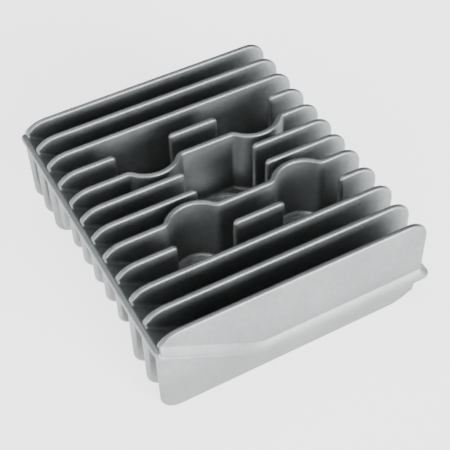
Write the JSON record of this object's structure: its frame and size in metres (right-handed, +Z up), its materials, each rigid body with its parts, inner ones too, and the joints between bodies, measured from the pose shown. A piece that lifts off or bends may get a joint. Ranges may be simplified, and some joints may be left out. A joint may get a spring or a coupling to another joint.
{
  "type": "cylinder head",
  "caption": "Air-cooled two-stroke cylinder head with upright fins on both sides of a cranked deck, a central plug pocket and stud pockets.",
  "frame": {"origin": "middle of the footprint at the gasket plane", "axes": "+X along the fins from the raised ramp end to the low end, +Y across the fins to the rear, +Z up from the gasket plane to the fin tips"},
  "size_m": [0.104, 0.114, 0.0387],
  "materials": {
    "cast_aluminium": "satin die-cast skin with a fine grain",
    "machined_aluminium": "turned spot face"
  },
  "bodies": {
    "root": {"deck_plate": "cast_aluminium", "chamber_boss": "cast_aluminium", "plug_seat": "machined_aluminium", "stud_seat_rear_ramp": "machined_aluminium", "stud_seat_rear_far": "machined_aluminium", "stud_seat_front_ramp": "machined_aluminium", "stud_seat_front_far": "machined_aluminium", "upper_fin_01": "cast_aluminium", "upper_fin_02": "cast_aluminium", "upper_fin_03": "cast_aluminium", "upper_fin_04_left": "cast_aluminium", "upper_fin_04_middle": "cast_aluminium", "upper_fin_04_right": "cast_aluminium", "upper_fin_05": "cast_aluminium", "upper_fin_06_left": "cast_aluminium", "upper_fin_06_right": "cast_aluminium", "upper_fin_07_left": "cast_aluminium", "upper_fin_07_right": "cast_aluminium", "upper_fin_08": "cast_aluminium", "upper_fin_09_left": "cast_aluminium", "upper_fin_09_middle": "cast_aluminium", "upper_fin_09_right": "cast_aluminium", "upper_fin_10": "cast_aluminium", "upper_fin_11": "cast_aluminium", "upper_fin_12": "cast_aluminium", "lower_fin_01": "cast_aluminium", "lower_fin_02": "cast_aluminium", "lower_fin_03": "cast_aluminium", "lower_fin_04": "cast_aluminium", "lower_fin_05": "cast_aluminium", "lower_fin_06": "cast_aluminium", "lower_fin_07": "cast_aluminium", "lower_fin_08": "cast_aluminium", "lower_fin_09": "cast_aluminium", "lower_fin_10": "cast_aluminium", "lower_fin_11": "cast_aluminium", "lower_fin_12": "cast_aluminium"}
  },
  "joints": []
}
